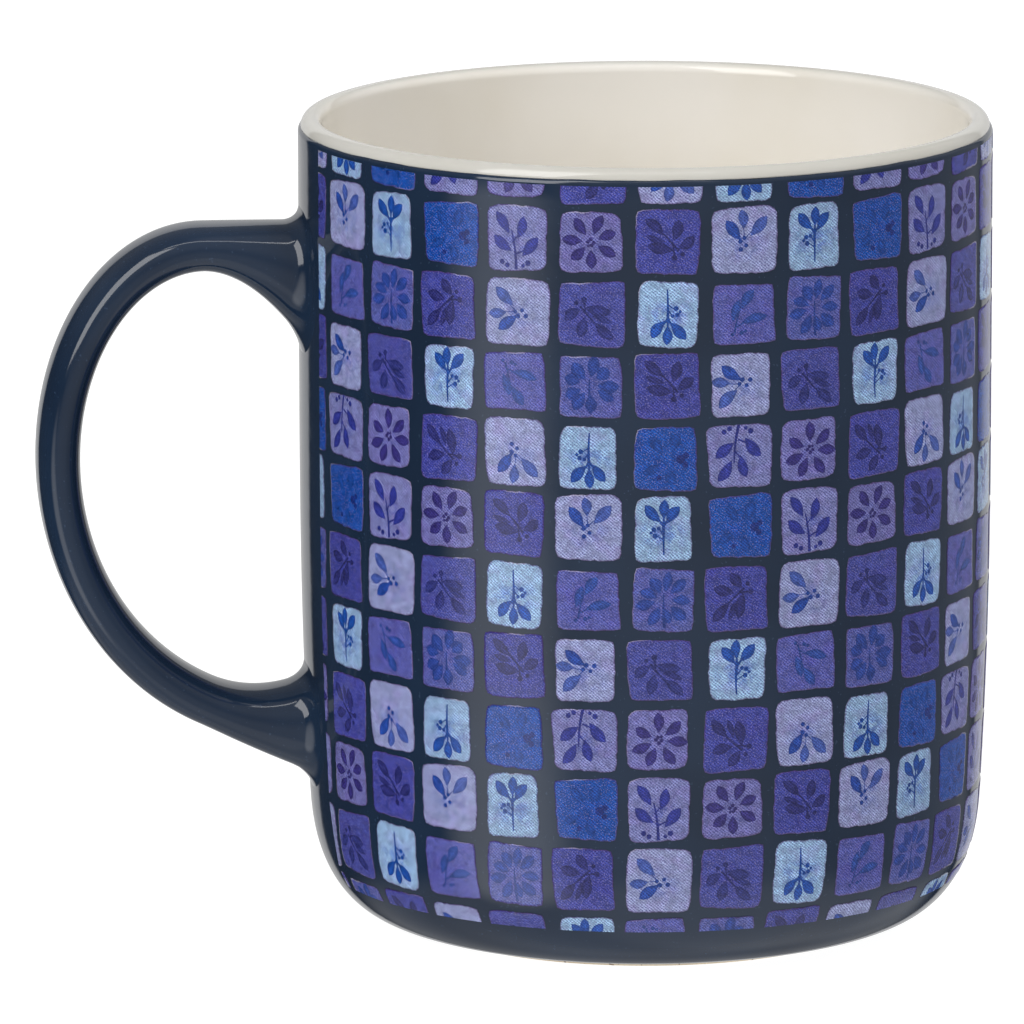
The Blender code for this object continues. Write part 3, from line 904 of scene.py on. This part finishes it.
def border_edges(triangles):
    """The edges that only one of the triangles has."""
    borders = {}
    for triangle in triangles:
        for a, b in zip(triangle, triangle[1:] + triangle[:1]):
            if (b, a) in borders:
                del borders[(b, a)]
            else:
                borders[(a, b)] = True
    return list(borders)


def edge_normal(spot, center):
    """The direction away from the tile's center, along the wall."""
    out = (spot - center).normalized()
    angle = spot.x / CUP_RADIUS
    return Vector((math.sin(angle) * out.x, -math.cos(angle) * out.x, out.y))


def build_tiles(printed):
    """Every tile of the sheet as a thin layer of ink that stands on the navy coat."""
    sheet_end = 2 * math.pi * CUP_RADIUS - SHEET_START
    limits = ((0, SHEET_START, -1), (0, sheet_end, 1), (1, SHEET_BOTTOM_Z, -1), (1, SHEET_TOP_Z, 1))
    points, normals, faces = [], [], []
    colors, sheets, washes, inners = [], [], [], []
    for row, column in product(TILE_ROWS, TILE_COLUMNS):
        shapes, ribs, middle, tone, wash = tile_shapes(row, column)
        for limit in limits:
            shapes = [(clipped(p, *limit), ink, leafy) for p, ink, leafy in shapes]
        if len(shapes[0][0]) < 3:
            continue
        shapes = [s for s in shapes if len(s[0]) >= 3]
        outline, ground, _ = shapes[0]
        found, kept, outer, on_ribs = tile_triangles(shapes, ribs, middle)
        used = sorted({i for triangle, _ in kept for i in triangle})
        index = {old: len(points) + k for k, old in enumerate(used)}
        top, facing = wall_points([found[old] for old in used], 0.0)
        center = sum((Vector(p) for p in outline), Vector((0, 0))) / len(outline)
        for k, old in enumerate(used):
            spot = found[old]
            if old in outer:
                rounded = Vector(facing[k]) + 0.6 * edge_normal(spot, center)
                facing[k] = tuple(rounded.normalized())
            away = spot - Vector(middle)
            fall = max(0.0, 1 - math.hypot(away.x / 3.4, (away.y + 0.4) / 2.6))
            sheets.append((spot.x, spot.y, 0.0))
            washes.append((wash * min(1.0, 1.6 * fall), 0.0, 0.0))
            inners.append(0.0 if old in outer else 1.0)
        points += top
        normals += facing
        for triangle, shape in kept:
            _, ink, leafy = shapes[shape]
            faces.append(tuple(index[i] for i in triangle))
            for i in triangle:
                shade = tone * (1.0 if not leafy else RIB_SHADE if i in on_ribs else EDGE_SHADE)
                colors.append((*(shade * c for c in linear(*ink)), leafy))

        # The tile's side, from its face down to the coat
        borders = border_edges(triangle for triangle, _ in kept)
        foot = {}
        for old in {i for pair in borders for i in pair}:
            low, _ = wall_points([found[old]], INK_THICKNESS)
            foot[old] = len(points)
            points += low
            side = edge_normal(found[old], center) if old in outer else Vector((0.0, 0.0, 1.0))
            normals.append(tuple(side))
            sheets.append((found[old].x, found[old].y, 0.0))
            washes.append((0.0, 0.0, 0.0))
            inners.append(0.0)
        for a, b in borders:
            faces.append((index[b], index[a], foot[a], foot[b]))
            colors += [(*(tone * c for c in linear(*ground)), 0.0)] * 4
    piece = new_piece("tile_print", points, faces, normals, printed)
    mesh = piece.data
    ink = mesh.attributes.new("ink", "FLOAT_COLOR", "CORNER")
    ink.data.foreach_set("color", np.array(colors, np.float32).ravel())
    # sheet is the place on the printed sheet; wash holds the amount of wash in its first value
    for name, rows in (("sheet", sheets), ("wash", washes)):
        layer = mesh.attributes.new(name, "FLOAT_VECTOR", "POINT")
        layer.data.foreach_set("vector", np.array(rows, np.float32).ravel())
    layer = mesh.attributes.new("inner", "FLOAT", "POINT")
    layer.data.foreach_set("value", np.array(inners, np.float32))
    return piece


# ---------------------------------------------------------------- scene


def build_floor():
    half = 4000.0 * MM
    mesh = bpy.data.meshes.new("floor")
    corners = [(-half, -half, 0.0), (half, -half, 0.0), (half, half, 0.0), (-half, half, 0.0)]
    mesh.from_pydata(corners, [], [(0, 1, 2, 3)])
    mesh.materials.append(floor_material())
    floor = bpy.data.objects.new("floor", mesh)
    bpy.context.scene.collection.objects.link(floor)
    floor.visible_glossy = False


def add_light(name, position, width, height, watts, mirrored=False):
    """A softbox aimed at the mug, in metres; unless mirrored, the glaze doesn't show it."""
    light = bpy.data.lights.new(name, "AREA")
    light.shape = "RECTANGLE"
    light.size = width
    light.size_y = height
    light.energy = watts
    lamp = bpy.data.objects.new(name, light)
    bpy.context.scene.collection.objects.link(lamp)
    lamp.location = position
    aim = Vector((AXIS_X * MM, 0.0, 0.06)) - Vector(position)
    lamp.rotation_euler = aim.to_track_quat("-Z", "Y").to_euler()
    lamp.visible_glossy = mirrored


def light_studio():
    """The room that the glaze mirrors, then the softboxes that light the mug.

    The room is dark, with a dim screen to the right of the camera, a white backdrop, a
    grey floor, brighter before the mug and below it, a pale card low on the left, and a
    dim ceiling.
    """
    world = bpy.data.worlds.new("studio")
    bpy.context.scene.world = world
    world.use_nodes = True
    tree = world.node_tree
    direction = tree.nodes.new("ShaderNodeTexCoord").outputs["Generated"]
    toward_camera = Vector((math.sin(CAMERA_TURN), -math.cos(CAMERA_TURN), 0.0))
    right = Vector((math.cos(CAMERA_TURN), math.sin(CAMERA_TURN), 0.0))
    up = Vector((0.0, 0.0, 1.0))
    # Direction of each patch, the cosines where it starts and where it is full, and strength
    patches = (
        (toward_camera * 0.53 + right * 0.85, -0.12, 0.16, 0.26),
        (-toward_camera, 0.85, 0.875, 0.65),
        (toward_camera * 0.5 - up * 0.87, 0.45, 0.70, 0.20),
        (-up, 0.42, 0.60, 0.32),
        ((toward_camera * 0.6 - right * 0.7 - up * 0.4).normalized(), 0.90, 0.99, 1.5),
        (up, 0.05, 0.60, 0.20),
    )
    total = None
    for axis, start, end, strength in patches:
        cosine = tree.nodes.new("ShaderNodeVectorMath")
        cosine.operation = "DOT_PRODUCT"
        cosine.inputs[1].default_value = axis
        span = tree.nodes.new("ShaderNodeMapRange")
        span.interpolation_type = "SMOOTHSTEP"
        tree.links.new(direction, cosine.inputs[0])
        tree.links.new(cosine.outputs["Value"], span.inputs["Value"])
        span.inputs["From Min"].default_value = start
        span.inputs["From Max"].default_value = end
        span.inputs["To Max"].default_value = strength
        # Each patch is added to the ones before it, and the first to a faint light all round
        add = tree.nodes.new("ShaderNodeMath")
        add.inputs[1].default_value = 0.02
        tree.links.new(span.outputs["Result"], add.inputs[0])
        if total:
            tree.links.new(total, add.inputs[1])
        total = add.outputs[0]
    tree.links.new(total, tree.nodes["Background"].inputs["Strength"])
    tree.nodes["Background"].inputs["Color"].default_value = (1.0, 1.0, 1.0, 1.0)
    add_light("overhead", (0.62, -0.02, 1.35), 1.5, 1.6, 14.5)
    add_light("strip", (-0.1, -0.5, 1.6), 1.0, 0.09, 1.6, mirrored=True)
    add_light("streak", (-0.9, -0.75, 0.9), 0.75, 1.4, 16.0, mirrored=True)


def aim_camera():
    data = bpy.data.cameras.new("camera")
    data.lens = LENS
    data.sensor_width = 36.0
    data.clip_start = 0.05
    data.clip_end = 20.0
    camera = bpy.data.objects.new("camera", data)
    bpy.context.scene.collection.objects.link(camera)
    camera.location = (
        (AXIS_X + CAMERA_DISTANCE * math.sin(CAMERA_TURN)) * MM,
        -CAMERA_DISTANCE * math.cos(CAMERA_TURN) * MM,
        CAMERA_HEIGHT * MM,
    )
    facing = Euler((math.pi / 2 - CAMERA_PITCH, 0.0, CAMERA_YAW + CAMERA_TURN)).to_matrix()
    camera.rotation_euler = (facing @ Matrix.Rotation(CAMERA_ROLL, 3, "Z")).to_euler()
    bpy.context.scene.camera = camera


clay = clay_material()
navy = navy_material()
cup_clay, cup_liner, cup_glaze = build_cup(clay, cream_material(), navy)
handle_clay, upper_joint, handle_skin, lower_joint = build_handle(clay, navy)
tile_print = build_tiles(tile_material())

for piece in (cup_clay, cup_liner, cup_glaze, tile_print):
    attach(piece, "root")
for piece in (handle_clay, upper_joint, handle_skin, lower_joint):
    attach(piece, "root")
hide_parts("cup_body")
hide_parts("liner_glaze")
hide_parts("outer_glaze")
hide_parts("mosaic_transfer")
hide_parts("handle")
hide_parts("handle_glaze")
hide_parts("upper_handle_collar")
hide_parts("lower_handle_collar")

build_floor()
light_studio()
aim_camera()
bpy.context.scene.view_settings.view_transform = "Standard"
